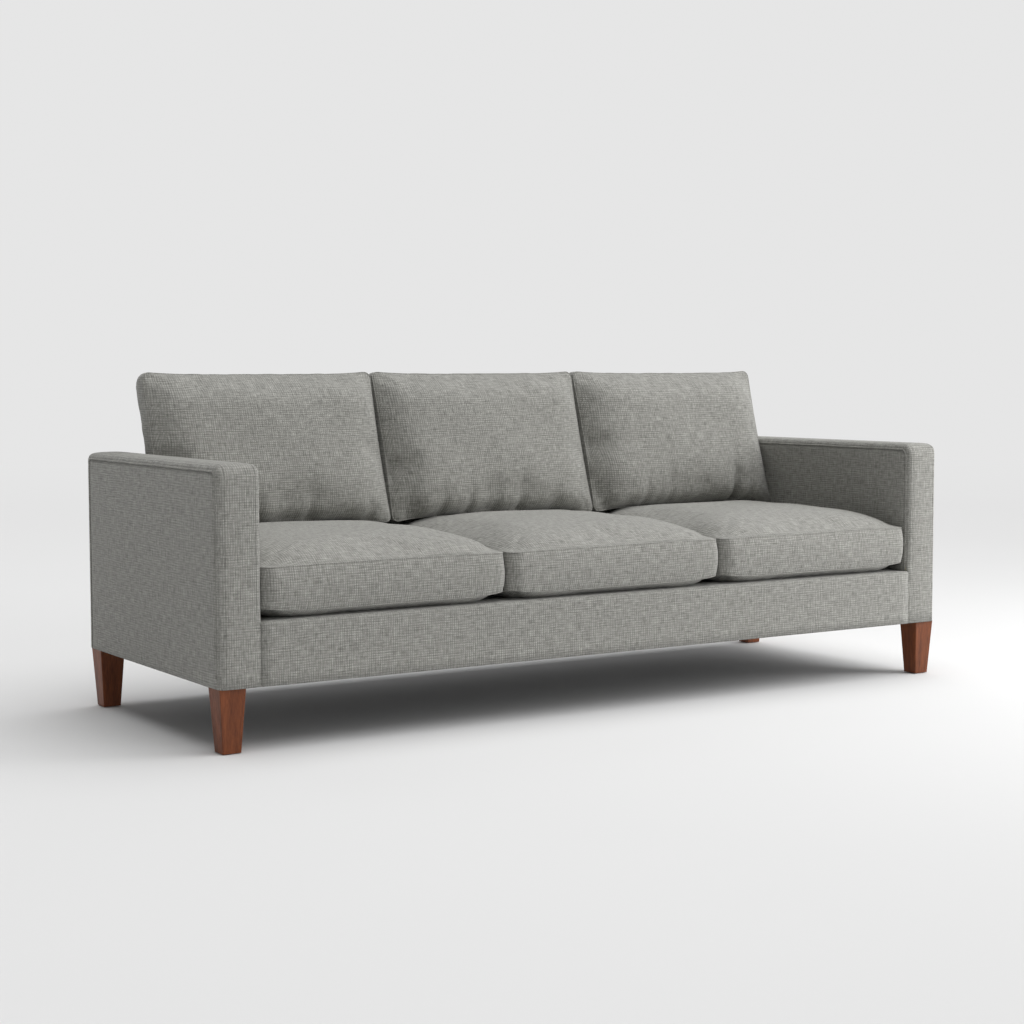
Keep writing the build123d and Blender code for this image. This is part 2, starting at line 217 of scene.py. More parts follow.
def cloth_plane(n):
    """The two coordinates that lie in the cloth, whichever way it faces."""
    x, y, z = n.position()
    nx, ny, nz = n.normal()
    faces_up = n.math("GREATER_THAN", nz, n.math("MAXIMUM", nx, ny))
    faces_side = n.math("GREATER_THAN", nx, n.math("MAXIMUM", ny, nz))
    across = n.math("MULTIPLY_ADD", faces_side, n.math("SUBTRACT", y, x), x)
    along = n.math("MULTIPLY_ADD", faces_up, n.math("SUBTRACT", y, z), z)
    return across, along


def woven(name, light, dark, pitch, relief):
    """Plain weave of uneven yarns: slubs run along both threads, over a fine over-and-under relief, with painted shade
    between the yarns and a painted highlight on their crowns.
    """
    n = Nodes(name)
    across, along = cloth_plane(n)
    wander = n.noise(n.combine(n.math("MULTIPLY", across, 9.0), n.math("MULTIPLY", along, 9.0)), 1.0, 1.0)
    shift = n.math("MULTIPLY", n.math("SUBTRACT", wander, 0.5), 0.6 * pitch)
    u = n.math("ADD", across, shift)
    v = n.math("ADD", along, shift)
    per = 2 * math.pi / pitch
    warp_wave = n.math("SINE", n.math("MULTIPLY", u, per / 2))
    weft_wave = n.math("SINE", n.math("MULTIPLY", v, per / 2))
    crossing = n.math("MULTIPLY", warp_wave, weft_wave)
    warp_yarn = n.noise(n.combine(n.math("MULTIPLY", u, 1.7 / pitch), n.math("MULTIPLY", v, 0.22 / pitch)), 1.0, 1.0)
    weft_yarn = n.noise(n.combine(n.math("MULTIPLY", u, 0.2 / pitch), n.math("MULTIPLY", v, 1.7 / pitch)), 1.0, 1.0)
    over = n.span(crossing, -0.35, 0.35)
    yarn = n.math("ADD", n.math("MULTIPLY", over, warp_yarn),
                  n.math("MULTIPLY", n.math("SUBTRACT", 1.0, over), weft_yarn))
    both = n.math("MULTIPLY_ADD", n.math("ADD", warp_yarn, weft_yarn), 0.35, n.math("MULTIPLY", yarn, 0.3))
    tone = n.span(both, 0.3, 0.7)
    patch = n.noise(n.combine(across, along), 30.0, 4.0, 0.7)
    tone = n.math("MULTIPLY_ADD", n.math("SUBTRACT", patch, 0.5), 0.12, tone)
    colour = n.mix(tone, (*dark, 1.0), (*light, 1.0))
    # Painted shade and highlight on the weave: the yarn colour is darkened to 0.78 along the lines between the yarns,
    # where shade falls, and raised to as much as 1.06 on the yarns' crowns.
    gap = n.math("MULTIPLY", n.math("ABSOLUTE", warp_wave), n.math("ABSOLUTE", weft_wave))
    painted_yarn_shade = n.span(gap, 0.0, 0.6, 0.78, 1.06)
    shaded_colour = n.mix(1.0, colour, n.combine(painted_yarn_shade, painted_yarn_shade, painted_yarn_shade), "MULTIPLY")
    height = n.math("ADD", n.math("ABSOLUTE", crossing), n.math("MULTIPLY", both, 1.4))
    n.bump(height, relief, 0.8)
    n.set(Base_Color=shaded_colour, Roughness=0.92, Sheen_Weight=0.18, Sheen_Roughness=0.55,
          Specular_IOR_Level=0.18)
    return n.material


def stained_wood(name, stain, grain, roughness=0.4, scale=1.0):
    """Straight grain along Z: broad figure, fine pores and a little drift in tone."""
    n = Nodes(name)
    x, y, z = n.position()
    k = 1.0 / scale
    figure = n.noise(n.combine(n.math("MULTIPLY", x, 60 * k), n.math("MULTIPLY", y, 60 * k),
                               n.math("MULTIPLY", z, 3.5 * k)), 1.0, 3.0, 0.6)
    pores = n.noise(n.combine(n.math("MULTIPLY", x, 650 * k), n.math("MULTIPLY", y, 650 * k),
                              n.math("MULTIPLY", z, 22 * k)), 1.0, 2.0, 0.6)
    drift = n.noise(n.combine(x, y, z), 14 * k, 2.0)
    tone = n.math("ADD", n.span(figure, 0.35, 0.65, 0.0, 0.55), n.span(pores, 0.35, 0.62, 0.0, 0.45))
    tone = n.math("MULTIPLY_ADD", n.math("SUBTRACT", drift, 0.5), 0.35, tone)
    n.set(Base_Color=n.mix(tone, (*grain, 1.0), (*stain, 1.0)),
          Roughness=n.span(pores, 0.3, 0.7, roughness + 0.14, roughness - 0.05),
          Specular_IOR_Level=0.3, Coat_Weight=0.05, Coat_Roughness=0.3)
    n.bump(n.math("ADD", pores, n.math("MULTIPLY", figure, 0.4)), 0.0003, 0.5)
    return n.material


def speckled(name, low, high, scale, roughness, metallic=0.0, relief=0.0002):
    """Cast, moulded or foamed stuff: two tones in fine clouds, with matching relief."""
    n = Nodes(name)
    place = n.add("ShaderNodeTexCoord").outputs["Object"]
    fine = n.noise(place, scale, 3.0, 0.65)
    broad = n.noise(place, scale / 12, 2.0)
    tone = n.math("MULTIPLY_ADD", n.math("SUBTRACT", broad, 0.5), 0.5, n.span(fine, 0.3, 0.7))
    n.set(Base_Color=n.mix(tone, (*low, 1.0), (*high, 1.0)), Metallic=metallic,
          Roughness=n.span(fine, 0.3, 0.7, roughness - 0.06, roughness + 0.06))
    n.bump(fine, relief, 0.6)
    return n.material


# ---------------------------------------------------------------- mesh helpers


def mesh_object(name, verts, faces, material):
    mesh = bpy.data.meshes.new(name)
    mesh.from_pydata([tuple(v) for v in verts], [], faces)
    mesh.update()
    mesh.polygons.foreach_set("use_smooth", [True] * len(mesh.polygons))
    mesh.materials.append(material)
    piece = bpy.data.objects.new(name, mesh)
    bpy.context.scene.collection.objects.link(piece)
    return piece


def outward(piece):
    """Turns every face of a closed piece outwards."""
    work = bmesh.new()
    work.from_mesh(piece.data)
    bmesh.ops.recalc_face_normals(work, faces=work.faces)
    work.to_mesh(piece.data)
    work.free()


def grid_faces(rows, columns, start=0):
    return [
        (start + i * columns + j, start + i * columns + j + 1,
         start + (i + 1) * columns + j + 1, start + (i + 1) * columns + j)
        for i in range(rows - 1) for j in range(columns - 1)
    ]


CLOTH = 0.0015


def cloth_sheet(name, point, rows, columns, material, thickness=CLOTH):
    """A cloth panel: point(s, t) gives its outer face for s and t from 0 to 1.

    The back lies thickness below it, against the cross product of s and t. Where that points
    into the sofa, thickness is negative.
    """
    outer = np.array([[point(i / (rows - 1), j / (columns - 1)) for j in range(columns)]
                      for i in range(rows)])
    along_s = np.gradient(outer, axis=0)
    along_t = np.gradient(outer, axis=1)
    normal = np.cross(along_s, along_t)
    normal /= np.maximum(np.linalg.norm(normal, axis=2, keepdims=True), 1e-12)
    inner = outer - normal * thickness
    verts = np.vstack([outer.reshape(-1, 3), inner.reshape(-1, 3)])
    count = rows * columns
    faces = grid_faces(rows, columns)
    faces += [tuple(reversed(f)) for f in grid_faces(rows, columns, count)]
    rim = [i * columns for i in range(rows)]
    rim += [(rows - 1) * columns + j for j in range(1, columns)]
    rim += [i * columns + columns - 1 for i in range(rows - 2, -1, -1)]
    rim += list(range(columns - 2, 0, -1))
    faces += [(rim[k], rim[(k + 1) % len(rim)], rim[(k + 1) % len(rim)] + count, rim[k] + count)
              for k in range(len(rim))]
    piece = mesh_object(name, verts, faces, material)
    outward(piece)
    return piece


def tube(name, path, radius, material, closed=False, sides=8):
    """A round cord along a path of points."""
    path = [Vector(p) for p in path]
    count = len(path)
    verts, faces = [], []
    up = Vector((0.0, 0.0, 1.0))
    previous = None
    for i, here in enumerate(path):
        ahead = path[(i + 1) % count] if closed or i + 1 < count else here
        behind = path[i - 1] if closed or i > 0 else here
        tangent = (ahead - behind).normalized()
        side = previous if previous is not None else tangent.cross(up if abs(tangent.z) < 0.9 else Vector((1, 0, 0)))
        side = (side - tangent * side.dot(tangent)).normalized()
        previous = side
        other = tangent.cross(side)
        for k in range(sides):
            angle = 2 * math.pi * k / sides
            verts.append(here + (side * math.cos(angle) + other * math.sin(angle)) * radius)
    rings = count if closed else count - 1
    for i in range(rings):
        a, b = i * sides, ((i + 1) % count) * sides
        for k in range(sides):
            faces.append((a + k, a + (k + 1) % sides, b + (k + 1) % sides, b + k))
    if not closed:
        faces.append(tuple(reversed(range(sides))))
        faces.append(tuple(range((count - 1) * sides, count * sides)))
    piece = mesh_object(name, verts, faces, material)
    outward(piece)
    return piece


def smoothstep(x):
    x = min(max(x, 0.0), 1.0)
    return x * x * (3 - 2 * x)


def swell(x, power=2.4):
    """Rises steeply from 0 at x = 0 and levels off at 1."""
    return 1 - (1 - min(max(x, 0.0), 1.0)) ** power


def arc_path(corners, radii, steps=8):
    """Straight runs through corner points (Y, Z), joined by a round corner of each radius in turn."""
    points = [np.array(corners[0], float)]
    for radius, before, corner, after in zip(radii, corners, corners[1:], corners[2:]):
        before, corner, after = (np.array(p, float) for p in (before, corner, after))
        into = (before - corner) / np.linalg.norm(before - corner)
        out = (after - corner) / np.linalg.norm(after - corner)
        centre = corner + (into + out) * radius
        for k in range(steps + 1):
            angle = math.pi / 2 * k / steps
            points.append(centre - out * radius * math.cos(angle) - into * radius * math.sin(angle))
    points.append(np.array(corners[-1], float))
    return points


def resample(points, spacing):
    """The same path with points no further apart than spacing, keeping each given point."""
    made = [points[0]]
    for a, b in zip(points, points[1:]):
        steps = max(1, int(np.linalg.norm(b - a) / spacing))
        made += [a + (b - a) * k / steps for k in range(1, steps + 1)]
    return np.array(made)


# ---------------------------------------------------------------- arms

ARM_EDGE = 0.012       # rounding between an arm's band and its sides
BAND_CROWN = 0.0045    # rise of a band's middle over its seams
SEAM_INSET = ARM_EDGE + BAND_CROWN   # how far an arm's seams lie inside its outline
ARM_CORNER = 0.036     # rounding of the band at the arm's front top, seen from the side
REAR_CORNER = 0.027    # the same at the rear top
OUTER_PUFF = 0.003     # swell of an arm's outer side, and below of its inner side
INNER_PUFF = 0.0004
SEAM_RISE = 0.0018     # how far an arm's sides stand proud of the seam
SEAM_DIP = 0.0011      # how deep the cloth sinks into a seam
EDGE_STEPS = 6


def squared_edge(steps):
    """Points (in from the side, in from the face) round an edge, square enough to clear the timber in it."""
    angles = [math.pi / 2 * k / steps for k in range(steps + 1)]
    return [(ARM_EDGE * (1 - abs(math.cos(a)) ** 0.5), SEAM_INSET * (1 - math.sin(a) ** 0.5)) for a in angles]


def arm_outline(inset, foot):
    """Side outline of an arm as (Y, Z) points, from the front's foot over the top and down the rear to foot."""
    front, top, rear = FRONT_Y + inset, ARM_TOP + BAND_CROWN - inset, REAR_Y - inset
    corners = [(front, BODY_BOTTOM), (front, top), (rear, top), (rear, foot)]
    return resample(arc_path(corners, (ARM_CORNER - inset, REAR_CORNER - inset)), 0.03)


def outline_normals(points):
    tangent = np.gradient(points, axis=0)
    tangent /= np.linalg.norm(tangent, axis=1, keepdims=True)
    return np.column_stack([-tangent[:, 1], tangent[:, 0]])


def arm_band(side, sign, material):
    """The strip up the arm's front, over its top and down its rear to the back's seam.

    It is rounded to both sides and softly crowned between. Its edges are squarer at the rear and
    a little squarer at the front top corner, to clear the boards inside.
    """
    path = arm_outline(0.0, BACK_SEAM)
    normals = outline_normals(path)
    width = OUTER_X - ARM_FACE_X
    angles = [math.pi / 2 * k / EDGE_STEPS for k in range(EDGE_STEPS + 1)]
    section = [(ARM_EDGE * (1 - math.cos(a)), ARM_EDGE * (1 - math.sin(a))) for a in angles]
    section += [(ARM_EDGE + 0.0008, 0.0001), (ARM_EDGE + 0.0022, 0.0016), (ARM_EDGE + 0.0036, 0.0001)]  # a groove
    start = ARM_EDGE + 0.0044
    flat = [(start + (width - 2 * start) * k / 10, 0.0) for k in range(11)]
    mirrored = [(width - across, drop) for across, drop in reversed(section)]
    profile = section + flat + mirrored
    square = squared_edge(EDGE_STEPS)
    square += profile[len(square):-len(square)] + [(width - a, d) for a, d in reversed(square)]

    def point(s, t):
        i = min(int(round(s * (len(path) - 1))), len(path) - 1)
        j = int(round(t * (len(profile) - 1)))
        across, drop = profile[j]
        share = 2 * across / width - 1
        if share > 0 and path[i][0] < 0:
            drop *= 0.1 + 0.9 * smoothstep((path[i][1] - DECK_Z + 0.008) / 0.03)
        fall = BAND_CROWN * abs(share) ** 3 + drop
        facing_y, facing_z = normals[i]
        squarer = smoothstep(facing_y) if facing_y > 0 else 2.4 * (facing_y * facing_z) ** 2
        across += (square[j][0] - across) * squarer
        fall += (square[j][1] - fall) * squarer
        y, z = path[i] - normals[i] * fall
        return (sign * (OUTER_X - across), y, z)

    band = cloth_sheet(f"arm_band_{side}_cloth", point, len(path), len(profile), material, CLOTH * sign)
    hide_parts(f"arm_band_{side}", f"arm_wrap_pad_{side}")
    return band


def rounded_place(u, v, half_u, half_v, radius, low_radius=None, far_radius=None):
    """Maps a square grid onto a rectangle with round corners, ring by ring."""
    m = max(abs(u), abs(v))
    if m < 1e-9:
        return 0.0, 0.0
    x, y = u / m * half_u, v / m * half_v
    r = radius if (v > 0 or low_radius is None) else low_radius
    r = r if (u < 0 or v < 0 or far_radius is None) else far_radius
    if r > 0 and abs(x) > half_u - r and abs(y) > half_v - r:
        cx, cy = math.copysign(half_u - r, x), math.copysign(half_v - r, y)
        dx, dy = x - cx, y - cy
        length = math.hypot(dx, dy)
        x, y = cx + dx / length * r, cy + dy / length * r
    return x * m, y * m


def arm_side(name, x, facing, bottom, puff_depth, material, node):
    """A flat side of an arm, a little puffed, that sinks into the seam round its rim."""
    front, top, rear = FRONT_Y + SEAM_INSET, ARM_TOP - ARM_EDGE, REAR_Y - SEAM_INSET
    half_y, half_z = (rear - front) / 2, (top - bottom) / 2
    radii = (ARM_CORNER - SEAM_INSET, 0.0, REAR_CORNER - SEAM_INSET)

    def point(s, t):
        u, v = 2 * s - 1, 2 * t - 1
        y, z = rounded_place(u, v, half_y, half_z, *radii)
        puff = puff_depth * (1 - abs(u) ** 6) * (1 - v ** 6 if v > 0 else 1 - abs(v) ** 10)
        rim = (1 - max(abs(u), v)) * min(half_y, half_z)
        seam = SEAM_RISE - (SEAM_RISE + SEAM_DIP) * (1 - swell(rim / 0.007))
        return (x + facing * (puff + seam), (front + rear) / 2 + y, (bottom + top) / 2 + z)

    panel = cloth_sheet(name, point, 61, 41, material, CLOTH * facing)
    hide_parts(node)
    return panel


def arm_welts(side, sign, radius, material):
    """Cords along the seams between an arm's band and its two sides."""
    made = []
    for place, x, foot in (("outer", OUTER_X, BODY_BOTTOM), ("inner", ARM_FACE_X, BACK_SEAM)):
        points = [(sign * x, y, z) for y, z in resample(arm_outline(SEAM_INSET, foot), 0.012)]
        made.append(tube(f"arm_welt_{place}_{side}", points, radius, material))
    return made


class SOFA_OT_arms(bpy.types.Operator):
    """Upholster both arms: a boxing band, an outer and an inner side, and welts along their seams"""

    bl_idname = "sofa.arms"
    bl_label = "Upholster arms"

    def execute(self, context):
        cloth = bpy.data.materials["upholstery_weave"]
        radius = context.scene.sofa_cushions.welt_radius
        for side, sign in SIDES.items():
            pieces = [arm_band(side, sign, cloth)]
            pieces.append(arm_side(f"arm_outer_side_{side}", sign * OUTER_X, sign, BODY_BOTTOM, OUTER_PUFF, cloth,
                                   f"arm_outer_cover_{side}"))
            pieces.append(arm_side(f"arm_inner_side_{side}", sign * ARM_FACE_X, -sign, DECK_Z - 0.01, INNER_PUFF, cloth,
                                   f"arm_inner_cover_{side}"))
            pieces += arm_welts(side, sign, 1.5 * radius, cloth)
            for piece in pieces:
                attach(piece, "frame")
        return {"FINISHED"}


# ---------------------------------------------------------------- rail, deck and back

RAIL_EDGE = 0.009
BACK_EDGE = 0.012
BACK_REAR_EDGE = 0.006   # small, so that the cloth clears the top rail


def profile_sheet(name, outline, radii, x_low, x_high, material, node, puff=0.0015, columns=81):
    """Cloth along a (Y, Z) outline with round corners, pulled tight between two places along X."""
    path = resample(arc_path(outline, radii, 6), 0.02)
    normals = outline_normals(path)

    wide = x_high - x_low
    section = [(x_low - 0.009, -0.011), (x_low - 0.001, -0.005)]
    for t in np.linspace(0, 1, columns):
        dip = SEAM_DIP * (1 - swell(min(t, 1 - t) * wide / 0.012))
        section.append((x_low + wide * t, puff * (1 - abs(2 * t - 1) ** 8) - dip))
    section += [(x_high + 0.001, -0.005), (x_high + 0.009, -0.011)]

    def point(s, t):
        i = int(round(s * (len(path) - 1)))
        x, lift = section[-1 - int(round(t * (len(section) - 1)))]
        y, z = path[i] + normals[i] * lift
        return (x, y, z)

    sheet = cloth_sheet(name, point, len(path), len(section), material)
    run = sum(math.dist(a, b) for a, b in zip(outline, outline[1:]))
    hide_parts(node)
    return sheet


class SOFA_OT_body(bpy.types.Operator):
    """Upholster the body: front rail, deck, inner and outer back, and the dust cloth below"""

    bl_idname = "sofa.body"
    bl_label = "Upholster body"

    def execute(self, context):
        cloth = bpy.data.materials["upholstery_weave"]
        deck_cloth = bpy.data.materials["deck_weave"]
        dust_cloth = bpy.data.materials["dust_weave"]
        low_x, high_x = -ARM_FACE_X, ARM_FACE_X
        lip_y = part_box("front_rail_cover")[1].y

        rail = profile_sheet(
            "front_rail_cloth",
            [(FRONT_Y, BODY_BOTTOM), (FRONT_Y, DECK_Z), (lip_y, DECK_Z)],
            [RAIL_EDGE], low_x, high_x, cloth, "front_rail_cover")
        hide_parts("front_rail_pad")

        crest_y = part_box("back_top_cover")[0].y
        deck = profile_sheet(
            "deck_cloth", [(lip_y - 0.006, DECK_Z + 0.0004), (0.0, DECK_Z - 0.002),
                           (BACK_FOOT_Y + 0.004, DECK_Z + 0.0004)],
            [0.001], low_x, high_x, deck_cloth, "deck_cover", puff=0.0)
        inner = profile_sheet(
            "back_inner_cloth",
            [(BACK_FOOT_Y, DECK_Z), (crest_y, BACK_TOP), (REAR_Y, BACK_TOP), (REAR_Y, BACK_SEAM)],
            [BACK_EDGE, BACK_REAR_EDGE], low_x, high_x, cloth, "back_inner_cover")
        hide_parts("back_top_cover", "back_pad")

        half_z = (BACK_SEAM - BODY_BOTTOM) / 2
        corner = [(x - OUTER_X, roll) for x, roll in squared_edge(12)]
        middle = [(x, 0.0) for x in np.linspace(ARM_EDGE - OUTER_X, OUTER_X - ARM_EDGE, 121)[1:-1]]
        across = corner + middle + [(-x, roll) for x, roll in reversed(corner)]

        def outer_back(s, t):
            x, roll = across[int(round(s * (len(across) - 1)))]
            u, v = x / OUTER_X, 2 * t - 1
            puff = 0.002 * (1 - abs(u) ** 8) * (1 - abs(v) ** 8)
            dip = SEAM_DIP * (1 - swell((1 - v) * half_z / 0.012))
            return (x, REAR_Y + puff - dip - roll, BODY_BOTTOM + half_z * (1 + v))

        outer = cloth_sheet("back_outer_cloth", outer_back, len(across), 31, cloth, -CLOTH)
        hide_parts("back_outer_cover")

        low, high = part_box("dust_cover")
        margin = 0.006

        def under(s, t):
            sag = 0.004 * math.sin(math.pi * s) * math.sin(math.pi * t)
            return (low.x + margin + (high.x - low.x - 2 * margin) * s,
                    high.y - margin - (high.y - low.y - 2 * margin) * t, low.z + 0.0002 - sag)

        dust = cloth_sheet("dust_cloth", under, 61, 31, dust_cloth, 0.001)
        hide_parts("dust_cover")

        for piece, slot in ((rail, "upholstery"), (deck, "deck_cloth"), (inner, "upholstery"),
                            (outer, "upholstery"), (dust, "dust_cloth")):
            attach(piece, "frame")
        return {"FINISHED"}


# ---------------------------------------------------------------- cushions


def closed_cushion(name, place, columns, rows, bands, material):
    """A boxed cushion as one closed skin: two panels and the boxing between their rims.

    place(u, v, w) gives a point: u and v run over a panel from -1 to 1, and w runs through
    the boxing from -1 at the one rim to 1 at the other.
    """
    verts, faces = [], []
    grids = {}
    for w in (1, -1):
        for i in range(columns):
            for j in range(rows):
                u, v = 2 * i / (columns - 1) - 1, 2 * j / (rows - 1) - 1
                grids[w, i, j] = len(verts)
                verts.append(place(u, v, w))
        for i in range(columns - 1):
            for j in range(rows - 1):
                faces.append((grids[w, i, j], grids[w, i + 1, j], grids[w, i + 1, j + 1], grids[w, i, j + 1]))
    rim = [(i, 0) for i in range(columns - 1)]
    rim += [(columns - 1, j) for j in range(rows - 1)]
    rim += [(i, rows - 1) for i in range(columns - 1, 0, -1)]
    rim += [(0, j) for j in range(rows - 1, 0, -1)]
    rings = [[grids[1, i, j] for i, j in rim]]
    for band in range(1, bands):
        w = 1 - 2 * band / bands
        ring = []
        for i, j in rim:
            ring.append(len(verts))
            verts.append(place(2 * i / (columns - 1) - 1, 2 * j / (rows - 1) - 1, w))
        rings.append(ring)
    rings.append([grids[-1, i, j] for i, j in rim])
    for above, below in zip(rings, rings[1:]):
        for k in range(len(rim)):
            k2 = (k + 1) % len(rim)
            faces.append((above[k], above[k2], below[k2], below[k]))
    piece = mesh_object(name, verts, faces, material)
    outward(piece)
    seams = {1: rings[0], -1: rings[-1]}
    return piece, seams


CALM_ROUNDS = 10


def calmed(piece, travel, held):
    """Evens out each point's travel with its neighbours', so the cloth keeps folds but no ripples."""
    edges = np.array([e.vertices for e in piece.data.edges])
    count = np.bincount(edges.ravel(), minlength=len(travel))[:, None]
    for _ in range(CALM_ROUNDS):
        total = np.zeros_like(travel)
        np.add.at(total, edges[:, 0], travel[edges[:, 1]])
        np.add.at(total, edges[:, 1], travel[edges[:, 0]])
        travel = 0.4 * travel + 0.6 * total / count
        travel[held] = 0.0
    return travel


def plump(piece, seams, cap, pressure, slack, frames=20):
    """Inflates the cushion as cloth held at its seams, and keeps at most cap of each point's travel."""
    rest = np.array([v.co for v in piece.data.vertices])
    group = piece.vertex_groups.new(name="held")
    held = sorted(set(seams[1]) | set(seams[-1]))
    group.add(held, 1.0, "REPLACE")
    cloth = piece.modifiers.new("plump", "CLOTH")
    state = cloth.settings
    state.quality = 5
    state.mass = 0.4
    state.tension_stiffness = state.compression_stiffness = 12
    state.shear_stiffness = 6
    state.bending_stiffness = 0.6
    state.use_pressure = True
    state.uniform_pressure_force = pressure
    state.shrink_min = slack
    state.vertex_group_mass = "held"
    state.pin_stiffness = 1.0
    state.effector_weights.gravity = 0.0
    cloth.collision_settings.use_collision = False
    scene = bpy.context.scene
    cloth.point_cache.frame_start, cloth.point_cache.frame_end = 1, frames
    for number in range(1, frames + 1):
        scene.frame_set(number)
    shaped = piece.evaluated_get(bpy.context.evaluated_depsgraph_get())
    made = np.array([v.co for v in shaped.data.vertices])
    piece.modifiers.remove(cloth)
    piece.vertex_groups.clear()
    scene.frame_set(1)
    travel = calmed(piece, made - rest, held)
    length = np.maximum(np.linalg.norm(travel, axis=1, keepdims=True), 1e-9)
    travel *= np.tanh(length / cap) * cap / length
    return rest, travel


def shape(piece, points):
    piece.data.vertices.foreach_set("co", np.asarray(points, np.float32).ravel())
    piece.data.update()


# Seat cushions

SEAT_CORNER = 0.037
SEAT_GAP = 0.0022    # kept free at each side of a seat cushion
SEAT_TRAVEL = 0.004  # most that the simulation may move a point


def seat_cushion(index, name, context):
    """One seat cushion: crowned on top, chamfered below, flat where it lies and where the back cushion stands."""
    look = context.scene.sofa_cushions
    low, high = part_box(f"seat_cushion_cover_{name}")
    half_x, half_y = (high.x - low.x) / 2 - 1.2 * SEAT_GAP, (high.y - low.y) / 2
    middle_x, middle_y = (high.x + low.x) / 2, (high.y + low.y) / 2
    seam_high, seam_low = DECK_Z + look.seat_seam_high, DECK_Z + look.seat_seam_low
    bottom = low.z + 0.0004
    back_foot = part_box(f"back_cushion_cover_{name}")[0].y
    rng = np.random.default_rng(40 + index)
    lean = rng.uniform(-0.0015, 0.0015, 3)

    def place(u, v, w):
        x, y = rounded_place(u, v, half_x, half_y, SEAT_CORNER)
        corner = (abs(x) / half_x) ** 7 * (abs(y) / half_y) ** 7
        pull_x = 0.004 * (1 - (y / half_y) ** 2) * (abs(x) / half_x) ** 3
        x -= math.copysign(pull_x, x)
        ring = min(1.0, (abs(u) ** 9 + abs(v) ** 9) ** (1 / 9))
        inward = (1 - ring) * half_x
        wave = 0.0012 * math.sin(5 * u + 3 * v + index) + 0.001 * math.sin(9 * v - 4 * u + 2 * index)
        if w == 1:
            steep = (1 - abs(u) ** 6) * (1 - abs(v) ** (4.5 if v < 0 else 14))
            rise = steep * (0.78 + 0.22 * (1 - u * u) * (1 - v * v))
            z = seam_high - 0.004 * corner + look.seat_crown * rise + wave * swell(inward / 0.06)
            ceiling = high.z - 0.0012
            far = smoothstep((middle_y + y - (back_foot - 0.055)) / 0.06)
            z = z * (1 - far) + min(z, ceiling) * far
        elif w == -1:
            rise = swell(inward / 0.055, 1.8)
            z = seam_low + 0.012 * corner - (seam_low + 0.012 * corner - bottom) * rise
            z = max(z, bottom)
        else:
            z = seam_low + 0.012 * corner + (seam_high - 0.004 * corner - seam_low - 0.012 * corner) * (w + 1) / 2
            bulge = 0.007 * (1 - w * w)
            room = 1.0 if abs(x) < 0.9 * half_x else 0.35
            x += math.copysign(bulge * (abs(x) / half_x) ** 8 * room, x)
            y += math.copysign(bulge * (abs(y) / half_y) ** 8, y)
        tilt = lean[0] * u + lean[1] * v
        return (middle_x + x, middle_y + y, z + (tilt if w == 1 else 0.0))

    cloth = bpy.data.materials["upholstery_weave"]
    piece, seams = closed_cushion(f"seat_cushion_{name}", place, 84, 80, 12, cloth)
    rest, travel = plump(piece, seams, SEAT_TRAVEL, 2.5, -0.03)
    points = rest + travel
    points[:, 2] = np.maximum(points[:, 2], bottom)
    points[:, 0] = np.clip(points[:, 0], low.x + SEAT_GAP, high.x - SEAT_GAP)
    behind = points[:, 1] > back_foot - 0.004
    points[behind, 2] = np.minimum(points[behind, 2], high.z - 0.0008)
    points[:, 1] = np.minimum(points[:, 1], high.y)
    shape(piece, points)
    welts = seam_welts(piece, seams, f"seat_cushion_{name}", look.welt_radius, cloth)
    finish_cushion(piece, welts, f"seat_cushion_{name}",
                   (f"seat_cushion_cover_{name}", f"seat_cushion_core_{name}"))


def seam_welts(piece, seams, name, radius, material, sink=0.25):
    """A cord laid into each of a cushion's two seams."""
    made = []
    coordinates = [v.co.copy() for v in piece.data.vertices]
    normals = [v.normal.copy() for v in piece.data.vertices]
    for key, word in ((1, "upper"), (-1, "lower")):
        points = [coordinates[i] - normals[i] * radius * sink for i in seams[key]]
        made.append(tube(f"{name}_welt_{word}", points, radius, material, closed=True))
    return made


def finish_cushion(piece, welts, body, nodes):
    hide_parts(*nodes)
    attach(piece, body)
    for welt in welts:
        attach(welt, body)


class SOFA_OT_seat_cushions(bpy.types.Operator):
    """Make the three seat cushions with their welts"""

    bl_idname = "sofa.seat_cushions"
    bl_label = "Make seat cushions"

    def execute(self, context):
        for index, name in enumerate(SEATS):
            seat_cushion(index, name, context)
        return {"FINISHED"}


# Back cushions

BACK_CORNER = 0.02
BACK_TRAVEL = 0.006
BACK_CLEAR = 0.0005  # kept free between a back cushion and the inner back
REAR_SEAM = 0.014    # how far the rear seam stands off the inner back
FOOT_SAG = 0.013     # how far the foot dips at its ends
PLEATS, FOLDS = 15, 7
UP = Vector(next(j["axis"] for j in frame["joints"] if j["child"] == "back_cushion_left")).normalized()


def leaning(z, depth):
    """The Y of a plane that leans with the back, depth in front of its fabric."""
    return BACK_FOOT_Y + (z - DECK_Z) * UP.y / UP.z - depth / UP.z


